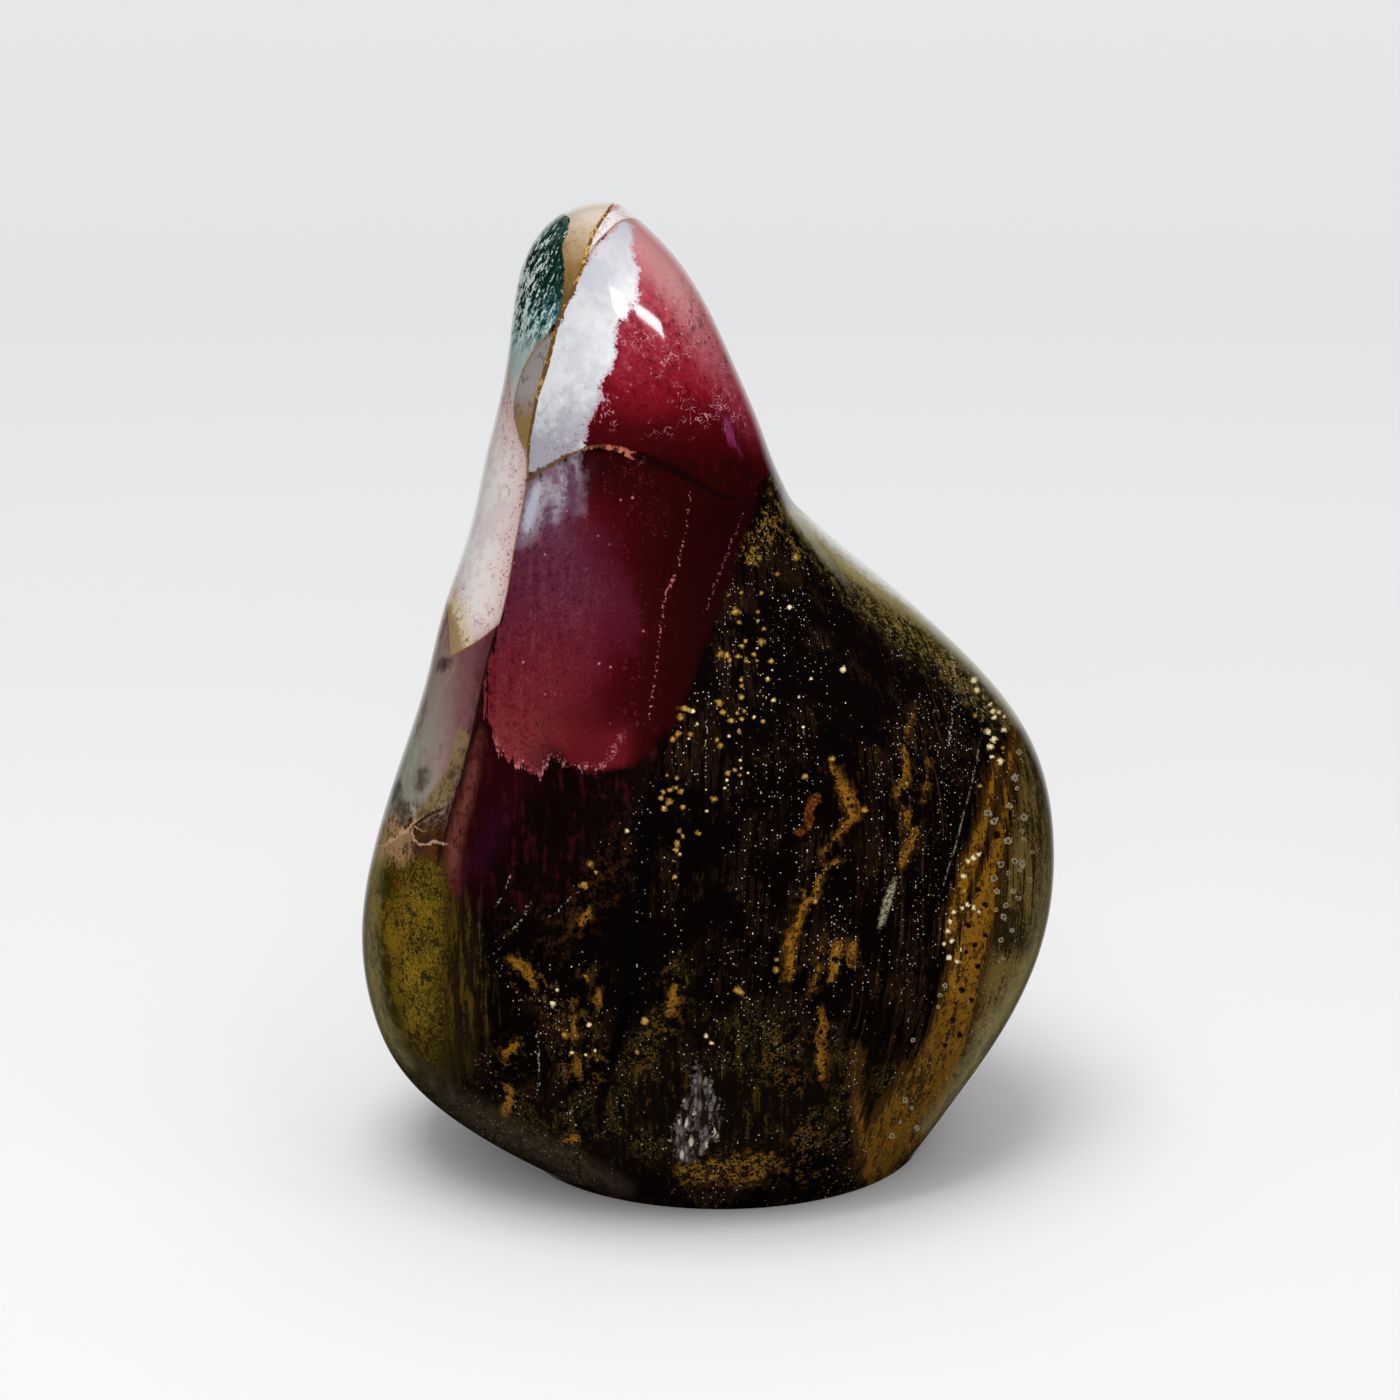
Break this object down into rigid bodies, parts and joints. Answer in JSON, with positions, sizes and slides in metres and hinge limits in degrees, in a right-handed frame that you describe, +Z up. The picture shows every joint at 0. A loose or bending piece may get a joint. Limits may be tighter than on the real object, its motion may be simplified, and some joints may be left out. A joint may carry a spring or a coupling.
{
  "type": "polished ocean jasper freeform",
  "caption": "Polished orbicular jasper freeform with a leaning peak and a broad shoulder, standing on its flat sawn base as a display stone.",
  "frame": {"origin": "middle of the stone's outline seen from above, at the height of the sawn base", "axes": "+Z up through the peak, -Y out of the front face, +X towards the shoulder"},
  "size_m": [0.0785, 0.054, 0.1063],
  "materials": {
    "polished_jasper": "high polish"
  },
  "bodies": {
    "root": {"stone": "polished_jasper"}
  },
  "joints": []
}
